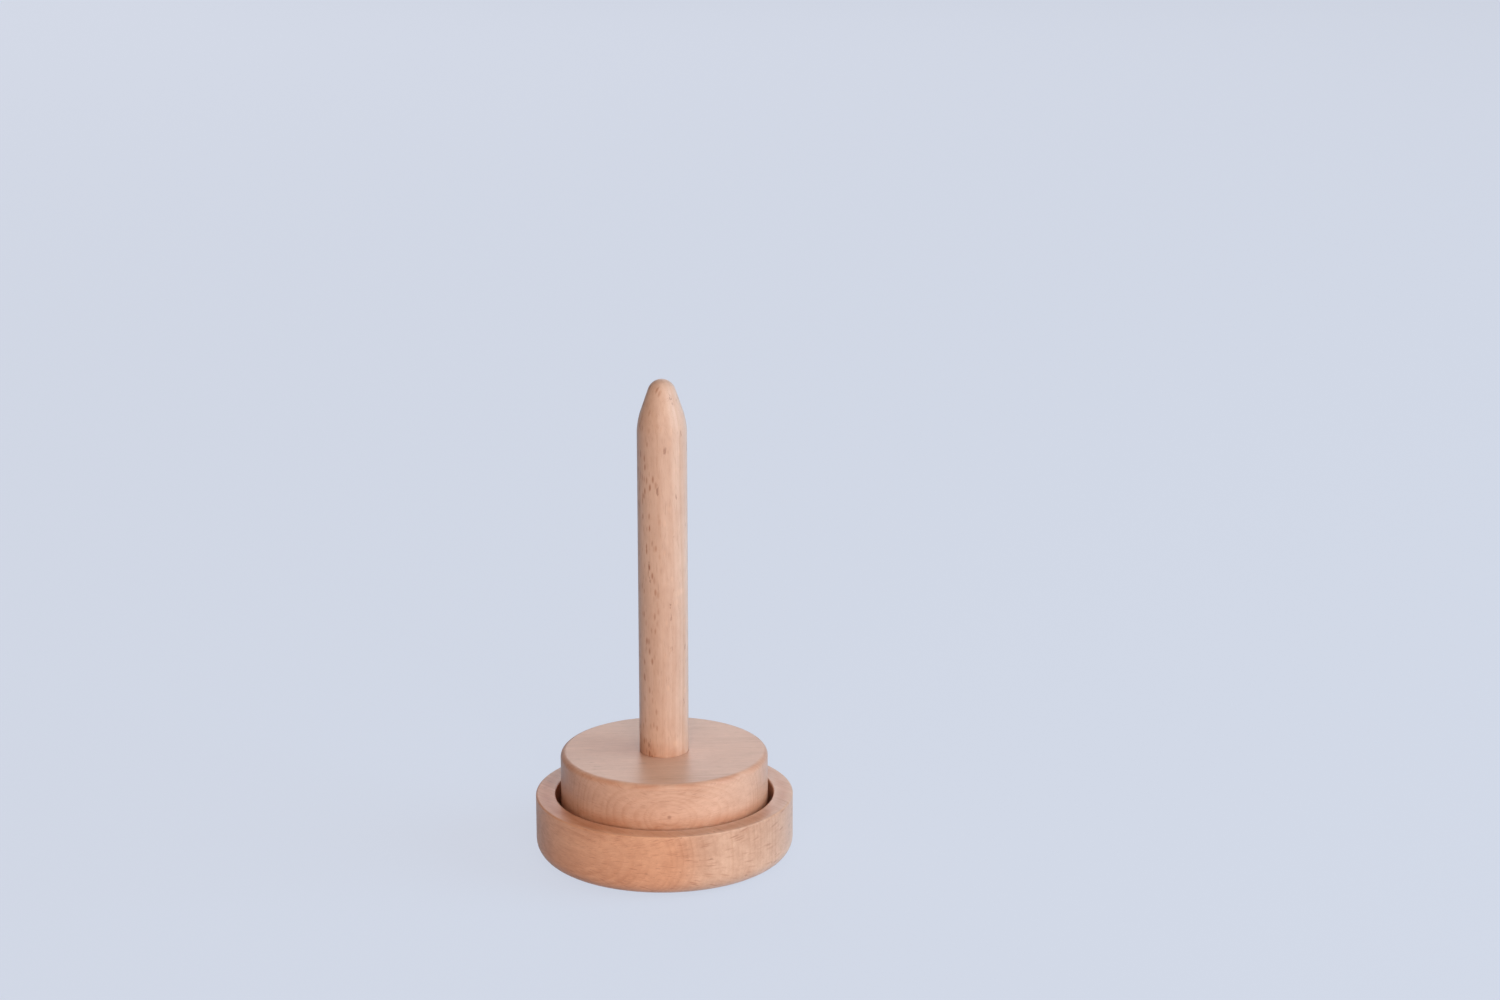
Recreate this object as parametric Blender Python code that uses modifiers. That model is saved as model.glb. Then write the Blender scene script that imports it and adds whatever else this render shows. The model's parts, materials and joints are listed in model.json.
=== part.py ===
"""Yarn ball holder: a beech spindle on a disc that spins in a round base on a ball bearing.

Metres, +Z up. The origin is on the spindle's axis, on the surface that the foot pads stand on.
"""

import math

import bmesh
import bpy
from mathutils import Matrix

MM = 0.001

# The holder as a whole.
OVERALL_HEIGHT = 200 * MM
SEAT_GAP = 0.3 * MM  # along the axis, between faces that rest on each other
FIT_GAP = 0.15 * MM  # all round, between a round piece and its seat

# The base, a turned block with a wide recess.
BASE_DIAMETER = 105 * MM
BASE_HEIGHT = 25.5 * MM
BASE_FOOT_ROUND = 7 * MM  # the rounding of its bottom edge
RIM_WALL = 8 * MM  # the rim's width, outside the recess
RIM_EASE = 0.6 * MM
RIM_GAP = 2.3 * MM  # between the disc and the recess wall, all round
BEARING_SEAT_DEPTH = 5 * MM  # from the recess floor down to the ledge under the bearing

# The foot pads.
PAD_COUNT = 4
PAD_DIAMETER = 12 * MM
PAD_THICKNESS = 1.2 * MM
PAD_EDGE = 0.3 * MM
PAD_INSET = 3.5 * MM  # from a pad to where the base's bottom edge starts to round

# The disc, which is as wide as the recess and its gap allow.
DISC_THICKNESS = 28 * MM
DISC_TOP_ROUND = 2.3 * MM
DISC_FOOT_EASE = 1.2 * MM

# The spindle: a dowel with a cone and a dome at its top, and a tenon at its foot.
SPINDLE_DIAMETER = 20 * MM
TAPER_LENGTH = 17.3 * MM  # from the tip to where the cone would meet the shaft
TIP_RADIUS = 5.7 * MM
TAPER_BLEND = 26 * MM  # the long radius between the cone and the shaft
TENON_LENGTH = 20 * MM
TENON_WALL = 2.2 * MM  # of wood round the insert
TENON_CHAMFER = 0.8 * MM

# The axle screw, with a pan head and a cross recess.
SCREW_DIAMETER = 5.7 * MM
SCREW_LENGTH = 30 * MM
SCREW_TIP_CHAMFER = 0.8 * MM
HEAD_DIAMETER = 11.5 * MM
HEAD_HEIGHT = 3.7 * MM
HEAD_ROUND = 2 * MM
HEAD_SINK = 2 * MM  # how far the head lies inside the base's underside
HEAD_CLEARANCE = 1.5 * MM  # all round the head, for the driver and the washer
CROSS_WIDTH = 1.4 * MM
CROSS_SPAN = 6.4 * MM
CROSS_DEPTH = 2.1 * MM
SCREW_HOLE_GAP = 0.4 * MM  # all round the screw, in the disc

# The washers on the screw.
HEAD_WASHER_THICKNESS = 1 * MM
SPACER_THICKNESS = 1.5 * MM
WASHER_EASE = 0.2 * MM

# The brass insert, with a coarse outer thread.
INSERT_DIAMETER = 9.5 * MM
INSERT_LENGTH = 13 * MM
INSERT_THREAD_DEPTH = 0.7 * MM
INSERT_THREAD_COUNT = 6
INSERT_SINK = 0.5 * MM  # how far it lies inside the tenon's end
INSERT_HOLE_SPARE = 2 * MM  # drilled past the insert

# The ball bearing, built up from its balls outwards.
BALL_COUNT = 7
BALL_DIAMETER = 3.5 * MM
RACE_WALL = 1.5 * MM  # of ring behind the ball track
GROOVE_DEPTH = 0.5 * MM
BALL_GAP = 0.1 * MM  # between a ball and its tracks
RING_EASE = 0.3 * MM
POCKET_GAP = 0.15 * MM
CAGE_WALL = 1.4 * MM
CAGE_WEB = 0.4 * MM  # of cage under each pocket
CAGE_HORN = 0.7 * MM  # how far the cage reaches past the middle of the balls
CAGE_END_GAP = 0.15 * MM
SHIELD_THICKNESS = 0.35 * MM
SHIELD_INSET = 0.2 * MM
SHIELD_SEAT = 0.6 * MM
SHIELD_GAP = 0.25 * MM  # between a shield and the inner ring that turns inside it

# How finely the round pieces are cut.
WOOD_STEPS = 80
SPINDLE_STEPS = 48
RING_STEPS = 36
SCREW_STEPS = 24
BALL_SEGMENTS = 12
BALL_RINGS = 8
CURVE_SEGMENTS = 6
TRACK_SEGMENTS = 4
EASE_SEGMENTS = 2
PAD_SEGMENTS = 24
SHARP_ANGLE = math.radians(32)
MERGE_DISTANCE = 1e-7

# Directions in a profile, whose points are (radius, height).
UP = math.pi / 2
OUT = 0
DOWN = -math.pi / 2
IN = math.pi

# The bearing's radii and half its width.
SCREW_RADIUS = SCREW_DIAMETER / 2
BORE_RADIUS = SCREW_RADIUS + FIT_GAP
BALL_RADIUS = BALL_DIAMETER / 2
PITCH_RADIUS = BORE_RADIUS + RACE_WALL + BALL_RADIUS
BEARING_RADIUS = PITCH_RADIUS + BALL_RADIUS + RACE_WALL
INNER_SHOULDER = PITCH_RADIUS - BALL_RADIUS + GROOVE_DEPTH
OUTER_SHOULDER = PITCH_RADIUS + BALL_RADIUS - GROOVE_DEPTH
CAGE_HALF_HEIGHT = BALL_RADIUS + POCKET_GAP + CAGE_WEB
HALF_WIDTH = CAGE_HALF_HEIGHT + CAGE_END_GAP + SHIELD_THICKNESS + SHIELD_INSET

# The heights of the pieces, stacked up from the pads.
BASE_BOTTOM = PAD_THICKNESS + SEAT_GAP
SCREW_BOTTOM = BASE_BOTTOM + HEAD_SINK
HEAD_WASHER_BOTTOM = SCREW_BOTTOM + HEAD_HEIGHT + SEAT_GAP
LEDGE_HEIGHT = HEAD_WASHER_BOTTOM + HEAD_WASHER_THICKNESS
BEARING_BOTTOM = LEDGE_HEIGHT + SEAT_GAP
BEARING_CENTRE = BEARING_BOTTOM + HALF_WIDTH
BEARING_TOP = BEARING_CENTRE + HALF_WIDTH
FLOOR_TOP = LEDGE_HEIGHT + BEARING_SEAT_DEPTH
SPACER_BOTTOM = BEARING_TOP + SEAT_GAP
DISC_BOTTOM = SPACER_BOTTOM + SPACER_THICKNESS + SEAT_GAP
DISC_TOP = DISC_BOTTOM + DISC_THICKNESS
TENON_BOTTOM = DISC_TOP - TENON_LENGTH
INSERT_BOTTOM = TENON_BOTTOM + INSERT_SINK

# Radii that follow the piece that goes in, round or through.
BASE_RADIUS = BASE_DIAMETER / 2
RECESS_RADIUS = BASE_RADIUS - RIM_WALL
DISC_RADIUS = RECESS_RADIUS - RIM_GAP
HEAD_HOLE_RADIUS = HEAD_DIAMETER / 2 + HEAD_CLEARANCE
BEARING_SEAT_RADIUS = BEARING_RADIUS + FIT_GAP
INSERT_HOLE_RADIUS = INSERT_DIAMETER / 2 + FIT_GAP
TENON_RADIUS = INSERT_HOLE_RADIUS + TENON_WALL
MORTISE_RADIUS = TENON_RADIUS + FIT_GAP
SHOULDER_SEAT_RADIUS = SPINDLE_DIAMETER / 2 + FIT_GAP


def clear_scene():
    for item in list(bpy.data.objects):
        bpy.data.objects.remove(item, do_unlink=True)


def new_collection(name):
    collection = bpy.data.collections.new(name)
    bpy.context.scene.collection.children.link(collection)
    return collection


def new_material(name, colour, roughness, metallic=0.0):
    material = bpy.data.materials.new(name)
    material.use_nodes = True
    material.diffuse_color = (*colour, 1)
    shader = material.node_tree.nodes["Principled BSDF"]
    shader.inputs["Base Color"].default_value = (*colour, 1)
    shader.inputs["Roughness"].default_value = roughness
    shader.inputs["Metallic"].default_value = metallic
    return material


def new_axis(name, height):
    """An empty on the spindle's axis, which the pieces that turn together are parented to."""
    axis = bpy.data.objects.new(name, None)
    axis.location.z = height
    holder.objects.link(axis)
    return axis


def arc(radius, height, size, start, end, segments):
    """Points along an arc about (radius, height), from one direction to another."""
    angles = [start + (end - start) * step / segments for step in range(segments + 1)]
    return [
        (radius + size * math.cos(angle), height + size * math.sin(angle)) for angle in angles
    ]


def ring_profile(inner, outer, thickness, ease):
    """A flat ring with its bottom at height zero and both outer edges eased."""
    return [
        *arc(outer - ease, thickness - ease, ease, UP, OUT, EASE_SEGMENTS),
        *arc(outer - ease, ease, ease, OUT, DOWN, EASE_SEGMENTS),
        (inner, 0),
        (inner, thickness),
    ]


def add_piece(name, mesh, material, axis=None, height=0.0):
    """A named piece at a height above the origin, on an axis that it turns with, if it has one."""
    piece = bpy.data.objects.new(name, mesh)
    mesh.materials.append(material)
    piece.parent = axis
    piece.location.z = height - (axis.location.z if axis else 0)
    holder.objects.link(piece)
    return piece


def turned(name, profile, material, steps, axis=None, height=0.0):
    """Turns a profile about Z. It runs down the outside and, where the piece has a bore, up it."""
    edges = [(point, point + 1) for point in range(len(profile) - 1)]
    if profile[-1][0] > 0:
        edges.append((len(profile) - 1, 0))
    mesh = bpy.data.meshes.new(name)
    mesh.from_pydata([(radius, 0, z) for radius, z in profile], edges, [])
    piece = add_piece(name, mesh, material, axis, height)
    screw = piece.modifiers.new("Turned", "SCREW")
    screw.angle = math.tau
    screw.steps = steps
    screw.render_steps = steps
    screw.use_merge_vertices = True
    screw.merge_threshold = MERGE_DISTANCE
    return piece


def add_cutter(name, shape, axis, height):
    """A hidden tool, whose shape is a bmesh about the origin."""
    mesh = bpy.data.meshes.new(name)
    shape.to_mesh(mesh)
    shape.free()
    cutter = bpy.data.objects.new(name, mesh)
    cutter.parent = axis
    cutter.location.z = height - axis.location.z
    cutter.hide_render = True
    cutter.display_type = "WIRE"
    cutters.objects.link(cutter)
    return cutter


def cut(piece, cutter):
    difference = piece.modifiers.new(cutter.name, "BOOLEAN")
    difference.operation = "DIFFERENCE"
    difference.solver = "EXACT"
    difference.object = cutter


def around(count, radius):
    """Points at even steps round the Z axis, with the first at the front."""
    turns = [math.tau * step / count for step in range(count)]
    return [(radius * math.sin(turn), -radius * math.cos(turn), 0) for turn in turns]


def shade_round(piece):
    """Applies the piece's modifiers, then shades it smooth between its sharp edges."""
    evaluated = piece.evaluated_get(bpy.context.evaluated_depsgraph_get())
    mesh = bpy.data.meshes.new_from_object(evaluated)
    piece.modifiers.clear()
    piece.data = mesh
    mesh.shade_smooth()
    mesh.set_sharp_from_angle(angle=SHARP_ANGLE)


def make_base():
    """The base: a flat rim, a recess for the disc, a seat for the bearing and a hole below it."""
    floor = FLOOR_TOP - BASE_BOTTOM
    ledge = LEDGE_HEIGHT - BASE_BOTTOM
    rim = BASE_HEIGHT - RIM_EASE
    profile = [
        *arc(BASE_RADIUS - RIM_EASE, rim, RIM_EASE, UP, OUT, EASE_SEGMENTS),
        *arc(
            BASE_RADIUS - BASE_FOOT_ROUND,
            BASE_FOOT_ROUND,
            BASE_FOOT_ROUND,
            OUT,
            DOWN,
            CURVE_SEGMENTS,
        ),
        (HEAD_HOLE_RADIUS, 0),
        (HEAD_HOLE_RADIUS, ledge),
        (BEARING_SEAT_RADIUS, ledge),
        (BEARING_SEAT_RADIUS, floor),
        (RECESS_RADIUS, floor),
        *arc(RECESS_RADIUS + RIM_EASE, rim, RIM_EASE, IN, UP, EASE_SEGMENTS),
    ]
    turned("base_bowl", profile, base_beech, WOOD_STEPS, height=BASE_BOTTOM)


def make_foot_pads():
    """Rubber pads on the flat of the base's underside, just inside its rounded edge."""
    pad_radius = PAD_DIAMETER / 2
    circle = BASE_RADIUS - BASE_FOOT_ROUND - PAD_INSET - pad_radius
    shape = bmesh.new()
    bmesh.ops.create_cone(
        shape,
        cap_ends=True,
        segments=PAD_SEGMENTS,
        radius1=pad_radius,
        radius2=pad_radius,
        depth=PAD_THICKNESS,
        matrix=Matrix.Translation((0, 0, PAD_THICKNESS / 2)),
    )
    mesh = bpy.data.meshes.new("foot_pad")
    shape.to_mesh(mesh)
    shape.free()
    mesh.materials.append(pad_rubber)
    for number, place in enumerate(around(PAD_COUNT, circle), start=1):
        pad = bpy.data.objects.new(f"foot_pad_{number}", mesh)
        pad.location = place
        holder.objects.link(pad)
        edge = pad.modifiers.new("Eased edge", "BEVEL")
        edge.width = PAD_EDGE
        edge.segments = EASE_SEGMENTS


def make_disc():
    """The disc: a mortise for the tenon, a shallow seat for the spindle's shoulder round its
    mouth, and a hole for the screw in the web below."""
    web = TENON_BOTTOM - SEAT_GAP - DISC_BOTTOM
    seat = DISC_THICKNESS - SEAT_GAP
    hole = SCREW_RADIUS + SCREW_HOLE_GAP
    profile = [
        *arc(
            DISC_RADIUS - DISC_TOP_ROUND,
            DISC_THICKNESS - DISC_TOP_ROUND,
            DISC_TOP_ROUND,
            UP,
            OUT,
            CURVE_SEGMENTS,
        ),
        *arc(
            DISC_RADIUS - DISC_FOOT_EASE,
            DISC_FOOT_EASE,
            DISC_FOOT_EASE,
            OUT,
            DOWN,
            EASE_SEGMENTS,
        ),
        (hole, 0),
        (hole, web),
        (MORTISE_RADIUS, web),
        (MORTISE_RADIUS, seat),
        (SHOULDER_SEAT_RADIUS, seat),
        (SHOULDER_SEAT_RADIUS, DISC_THICKNESS),
    ]
    turned("turntable_disc", profile, disc_beech, WOOD_STEPS, turntable, DISC_BOTTOM)


def make_spindle():
    """The spindle: dome, cone, a long blend into the shaft, then the tenon and the insert's hole."""
    radius = SPINDLE_DIAMETER / 2
    tip = OVERALL_HEIGHT - TENON_BOTTOM
    corner = tip - TAPER_LENGTH
    dome = tip - TIP_RADIUS
    # The cone's half angle, from the line through the corner that touches the dome.
    reach = math.hypot(radius, dome - corner)
    slope = math.atan2(radius, dome - corner) - math.asin(TIP_RADIUS / reach)
    blend = corner - TAPER_BLEND * math.tan(slope / 2)
    hole_top = INSERT_BOTTOM + INSERT_LENGTH + INSERT_HOLE_SPARE - TENON_BOTTOM
    profile = [
        *arc(0, dome, TIP_RADIUS, UP, slope, CURVE_SEGMENTS),
        *arc(radius - TAPER_BLEND, blend, TAPER_BLEND, slope, OUT, CURVE_SEGMENTS),
        (radius, TENON_LENGTH),
        (TENON_RADIUS, TENON_LENGTH),
        (TENON_RADIUS, TENON_CHAMFER),
        (TENON_RADIUS - TENON_CHAMFER, 0),
        (INSERT_HOLE_RADIUS, 0),
        (INSERT_HOLE_RADIUS, hole_top),
        (0, hole_top),
    ]
    turned("spindle", profile, spindle_beech, SPINDLE_STEPS, turntable, TENON_BOTTOM)


def make_insert():
    """The brass insert: a bore for the screw, and ridges outside that bite into the tenon."""
    crest = INSERT_DIAMETER / 2
    root = crest - INSERT_THREAD_DEPTH
    pitch = INSERT_LENGTH / INSERT_THREAD_COUNT
    bore = SCREW_RADIUS + FIT_GAP
    profile = [(root, INSERT_LENGTH)]
    for turn in range(INSERT_THREAD_COUNT):
        ridge_top = INSERT_LENGTH - turn * pitch
        profile += [(crest, ridge_top - pitch / 2), (root, ridge_top - pitch)]
    profile += [(bore, 0), (bore, INSERT_LENGTH)]
    turned("threaded_insert", profile, brass, SCREW_STEPS, turntable, INSERT_BOTTOM)


def make_axle_screw():
    """The screw, head down: a pan head with a cross recess, and a shank with a chamfered tip."""
    top = HEAD_HEIGHT + SCREW_LENGTH
    head = HEAD_DIAMETER / 2
    profile = [
        (0, top),
        (SCREW_RADIUS - SCREW_TIP_CHAMFER, top),
        (SCREW_RADIUS, top - SCREW_TIP_CHAMFER),
        (SCREW_RADIUS, HEAD_HEIGHT),
        (head, HEAD_HEIGHT),
        *arc(head - HEAD_ROUND, HEAD_ROUND, HEAD_ROUND, OUT, DOWN, CURVE_SEGMENTS),
        (0, 0),
    ]
    screw = turned("axle_screw", profile, zinc_steel, SCREW_STEPS, turntable, SCREW_BOTTOM)
    for name, sides in (
        ("cross_slot_x", (CROSS_SPAN, CROSS_WIDTH)),
        ("cross_slot_y", (CROSS_WIDTH, CROSS_SPAN)),
    ):
        shape = bmesh.new()
        bmesh.ops.create_cube(shape, size=1)
        bmesh.ops.scale(shape, vec=(*sides, 2 * CROSS_DEPTH), verts=shape.verts)
        cut(screw, add_cutter(name, shape, turntable, SCREW_BOTTOM))


def make_washers():
    """Both washers are as wide as the inner ring, so neither rubs on a shield or the outer ring."""
    for name, thickness, bottom in (
        ("head_washer", HEAD_WASHER_THICKNESS, HEAD_WASHER_BOTTOM),
        ("spacer_washer", SPACER_THICKNESS, SPACER_BOTTOM),
    ):
        profile = ring_profile(BORE_RADIUS, INNER_SHOULDER, thickness, WASHER_EASE)
        turned(name, profile, zinc_steel, SCREW_STEPS, turntable, bottom)


def track_points(shoulder, start, end):
    """The ball track between a ring's two shoulders, as an arc about a ball's centre."""
    size = BALL_RADIUS + BALL_GAP
    lean = math.acos(abs(PITCH_RADIUS - shoulder) / size)
    turn = math.copysign(lean, end - start)
    middle = (start + end) / 2
    return arc(PITCH_RADIUS, 0, size, middle - turn, middle + turn, TRACK_SEGMENTS)


def make_inner_ring():
    """The ring that turns with the disc, with the track on its outer side."""
    profile = [
        (INNER_SHOULDER - RING_EASE, HALF_WIDTH),
        (INNER_SHOULDER, HALF_WIDTH - RING_EASE),
        *track_points(INNER_SHOULDER, UP, UP + math.pi),
        (INNER_SHOULDER, RING_EASE - HALF_WIDTH),
        (INNER_SHOULDER - RING_EASE, -HALF_WIDTH),
        (BORE_RADIUS, -HALF_WIDTH),
        (BORE_RADIUS, HALF_WIDTH),
    ]
    turned(
        "bearing_inner_ring", profile, bearing_steel, RING_STEPS, turntable, BEARING_CENTRE
    )


def make_outer_ring():
    """The ring seated in the base, with the track inside and a step for a shield at each end."""
    pocket = OUTER_SHOULDER + SHIELD_SEAT
    step = HALF_WIDTH - SHIELD_INSET - SHIELD_THICKNESS - SEAT_GAP
    profile = [
        (BEARING_RADIUS - RING_EASE, HALF_WIDTH),
        (BEARING_RADIUS, HALF_WIDTH - RING_EASE),
        (BEARING_RADIUS, RING_EASE - HALF_WIDTH),
        (BEARING_RADIUS - RING_EASE, -HALF_WIDTH),
        (pocket, -HALF_WIDTH),
        (pocket, -step),
        (OUTER_SHOULDER, -step),
        *track_points(OUTER_SHOULDER, DOWN, UP),
        (OUTER_SHOULDER, step),
        (pocket, step),
        (pocket, HALF_WIDTH),
    ]
    turned(
        "bearing_outer_ring", profile, bearing_steel, RING_STEPS, height=BEARING_CENTRE
    )


def make_shields():
    """Thin rings held by the outer ring. The inner ring turns inside them."""
    outer = OUTER_SHOULDER + SHIELD_SEAT - FIT_GAP
    profile = [
        (outer, SHIELD_THICKNESS),
        (outer, 0),
        (INNER_SHOULDER + SHIELD_GAP, 0),
        (INNER_SHOULDER + SHIELD_GAP, SHIELD_THICKNESS),
    ]
    turned(
        "lower_shield",
        profile,
        shield_steel,
        RING_STEPS,
        height=BEARING_BOTTOM + SHIELD_INSET,
    )
    turned(
        "upper_shield",
        profile,
        shield_steel,
        RING_STEPS,
        height=BEARING_TOP - SHIELD_INSET - SHIELD_THICKNESS,
    )


def make_balls_and_cage():
    """The balls, and the crown cage that snaps over them from below and goes round with them."""
    places = around(BALL_COUNT, PITCH_RADIUS)
    shape = bmesh.new()
    bmesh.ops.create_uvsphere(
        shape, u_segments=BALL_SEGMENTS, v_segments=BALL_RINGS, radius=BALL_RADIUS
    )
    mesh = bpy.data.meshes.new("bearing_ball")
    shape.to_mesh(mesh)
    shape.free()
    mesh.materials.append(bearing_steel)
    for number, place in enumerate(places, start=1):
        ball = bpy.data.objects.new(f"bearing_ball_{number}", mesh)
        ball.parent = ball_train
        ball.location = place
        holder.objects.link(ball)

    profile = [
        (PITCH_RADIUS + CAGE_WALL / 2, CAGE_HORN),
        (PITCH_RADIUS + CAGE_WALL / 2, -CAGE_HALF_HEIGHT),
        (PITCH_RADIUS - CAGE_WALL / 2, -CAGE_HALF_HEIGHT),
        (PITCH_RADIUS - CAGE_WALL / 2, CAGE_HORN),
    ]
    cage = turned("ball_cage", profile, cage_nylon, RING_STEPS, ball_train, BEARING_CENTRE)
    pockets = bmesh.new()
    for place in places:
        bmesh.ops.create_uvsphere(
            pockets,
            u_segments=BALL_SEGMENTS,
            v_segments=BALL_RINGS,
            radius=BALL_RADIUS + POCKET_GAP,
            matrix=Matrix.Translation(place),
        )
    cut(cage, add_cutter("ball_pockets", pockets, ball_train, BEARING_CENTRE))


clear_scene()
holder = new_collection("yarn_ball_holder")
cutters = new_collection("cutters")

base_beech = new_material("base_beech", (0.60, 0.34, 0.22), 0.48)
disc_beech = new_material("disc_beech", (0.63, 0.38, 0.27), 0.48)
spindle_beech = new_material("spindle_beech", (0.66, 0.42, 0.29), 0.45)
pad_rubber = new_material("pad_rubber", (0.035, 0.033, 0.032), 0.85)
bearing_steel = new_material("bearing_steel", (0.62, 0.62, 0.63), 0.15, 1.0)
shield_steel = new_material("shield_steel", (0.55, 0.55, 0.55), 0.32, 1.0)
zinc_steel = new_material("zinc_steel", (0.60, 0.61, 0.63), 0.30, 1.0)
brass = new_material("brass", (0.72, 0.50, 0.22), 0.30, 1.0)
cage_nylon = new_material("cage_nylon", (0.72, 0.68, 0.56), 0.50)

turntable = new_axis("turntable_axis", BEARING_CENTRE)
ball_train = new_axis("ball_train_axis", BEARING_CENTRE)

make_base()
make_foot_pads()
make_outer_ring()
make_shields()
make_balls_and_cage()
make_inner_ring()
make_axle_screw()
make_washers()
make_disc()
make_spindle()
make_insert()

for item in holder.objects:
    if item.type == "MESH":
        shade_round(item)
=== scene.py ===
# %% [markdown]
# # A yarn ball holder
#
# A beech spindle stands on a beech disc, and the disc spins in a round base on a small ball
# bearing. A ball of yarn goes over the spindle and turns as its end is pulled. Nearly every
# piece came off a lathe, so this lesson is about turning: one outline, spun round an axis.
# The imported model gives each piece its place, and each piece below stands in for a plain one.

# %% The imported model
import json
import math

import bmesh
import bpy
from mathutils import Matrix, Vector


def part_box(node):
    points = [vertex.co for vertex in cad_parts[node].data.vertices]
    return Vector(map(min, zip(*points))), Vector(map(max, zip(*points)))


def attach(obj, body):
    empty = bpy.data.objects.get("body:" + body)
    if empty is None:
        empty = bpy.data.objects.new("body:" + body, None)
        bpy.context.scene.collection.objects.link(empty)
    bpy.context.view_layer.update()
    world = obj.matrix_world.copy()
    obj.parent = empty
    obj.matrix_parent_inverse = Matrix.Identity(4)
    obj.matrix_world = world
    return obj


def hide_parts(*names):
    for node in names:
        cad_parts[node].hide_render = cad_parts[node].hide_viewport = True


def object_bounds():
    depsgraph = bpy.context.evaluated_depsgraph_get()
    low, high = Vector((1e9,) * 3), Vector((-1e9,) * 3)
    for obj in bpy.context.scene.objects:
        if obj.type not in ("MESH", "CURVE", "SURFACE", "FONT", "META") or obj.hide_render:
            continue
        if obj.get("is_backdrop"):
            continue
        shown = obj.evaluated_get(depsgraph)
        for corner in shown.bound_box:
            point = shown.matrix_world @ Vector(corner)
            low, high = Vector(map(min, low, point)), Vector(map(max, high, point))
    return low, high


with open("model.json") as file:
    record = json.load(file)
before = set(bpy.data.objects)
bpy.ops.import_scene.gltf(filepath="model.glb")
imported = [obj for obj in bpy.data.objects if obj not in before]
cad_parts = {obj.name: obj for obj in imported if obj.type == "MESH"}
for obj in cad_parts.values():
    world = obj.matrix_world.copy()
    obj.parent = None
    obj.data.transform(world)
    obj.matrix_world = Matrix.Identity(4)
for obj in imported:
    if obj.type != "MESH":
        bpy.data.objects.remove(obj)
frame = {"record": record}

MM = 0.001
cad_low, cad_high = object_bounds()
print("The holder measures, in mm:", [round(side / MM, 1) for side in cad_high - cad_low])

# %% [markdown]
# ## The camera
#
# The picture is taken from a little above, with a long lens. A camera could be aimed by eye, or
# with a constraint. Here the tip of the spindle is put on a chosen pixel: the camera steps back
# from the tip along its own line of sight, and sideways by that pixel's distance from the middle.

# %% Camera
PICTURE_WIDTH, PICTURE_HEIGHT = 1500, 1000
TIP_PIXEL_X, TIP_PIXEL_Y = 661.5, 379
LOOKING_DOWN = math.radians(15.5)
TIP_DISTANCE = 1.3
FOCAL_LENGTH = 79
SENSOR_WIDTH = 36

forward = Vector((0, math.cos(LOOKING_DOWN), -math.sin(LOOKING_DOWN)))
right = Vector((1, 0, 0))
upward = right.cross(forward)
pixels = FOCAL_LENGTH / SENSOR_WIDTH * PICTURE_WIDTH
sideways = (TIP_PIXEL_X - PICTURE_WIDTH / 2) / pixels
raised = (PICTURE_HEIGHT / 2 - TIP_PIXEL_Y) / pixels

lens = bpy.data.cameras.new("camera")
lens.lens = FOCAL_LENGTH
lens.sensor_width = SENSOR_WIDTH
camera = bpy.data.objects.new("camera", lens)
camera.location = Vector((0, 0, cad_high.z)) - TIP_DISTANCE * (
    forward + sideways * right + raised * upward
)
camera.rotation_euler = (math.pi / 2 - LOOKING_DOWN, 0, 0)
bpy.context.scene.collection.objects.link(camera)
bpy.context.scene.camera = camera
print("The camera stands at, in m:", [round(part, 3) for part in camera.location])

# %% [markdown]
# ## Turning a piece
#
# A turner works to an outline. Here an outline is a wire of corners, each with a radius from the
# axis, a height and the size of its rounding, in millimetres. The bevel operator rounds a corner
# of a wire as well as one of a solid, if it is told to work on vertices. It wants the distance
# along the wire at which the rounding starts: its size times the tangent of half the turn.

# %% An outline with rounded corners
FEWEST_SEGMENTS = 3
MORE_SEGMENTS = 2.5


def outline(corners, closed=True):
    """A wire through corners of (radius, height, rounding)."""
    shape = bmesh.new()
    places = [Vector((radius, 0, height)) * MM for radius, height, _ in corners]
    points = [shape.verts.new(place) for place in places]
    for point, after in zip(points, points[1:] + points[:1] if closed else points[1:]):
        shape.edges.new((point, after))
    for number, (_, _, rounding) in enumerate(corners):
        if rounding:
            arriving = places[number] - places[number - 1]
            leaving = places[(number + 1) % len(places)] - places[number]
            bmesh.ops.bevel(
                shape,
                geom=[points[number]],
                offset=rounding * MM * math.tan(arriving.angle(leaving) / 2),
                segments=FEWEST_SEGMENTS + round(MORE_SEGMENTS * math.sqrt(rounding)),
                profile=0.5,
                affect="VERTICES",
                material=-1,
            )
    return shape


# %% [markdown]
# A flat that is shaded smooth goes grey near a rounding, because its corners share the slope of
# the rounding. A ring of edges close to each end of the flat keeps that to a hair's width. Then
# the wire is spun once round, its seam and poles are merged, and its normals are worked out.

# %% Spinning the outline
AXIS = (0, 0, 1)
GUARD = 0.25 * MM
GUARDED = 5 * GUARD
CLOSE = 1e-6


def turn(shape, steps):
    """The outline spun once round, with a guard near both ends of each longer edge."""
    for edge in [edge for edge in shape.edges if edge.calc_length() > GUARDED]:
        for end in tuple(edge.verts):
            bmesh.utils.edge_split(edge, end, GUARD / edge.calc_length())
    bmesh.ops.spin(
        shape,
        geom=shape.verts[:] + shape.edges[:],
        axis=AXIS,
        angle=math.tau,
        steps=steps,
        use_merge=True,
    )
    bmesh.ops.remove_doubles(shape, verts=shape.verts, dist=CLOSE)
    bmesh.ops.recalc_face_normals(shape, faces=shape.faces)
    return shape


# %% [markdown]
# Each finished shape becomes a piece that stands in for one plain node. The record says which
# body the node rides on, so that is not typed again here.

# %% Keeping a finished piece
SHARP = math.radians(35)
record = frame["record"]
body_of = {node: body for body, nodes in record["behaviour"]["bodies"].items() for node in nodes}


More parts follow.
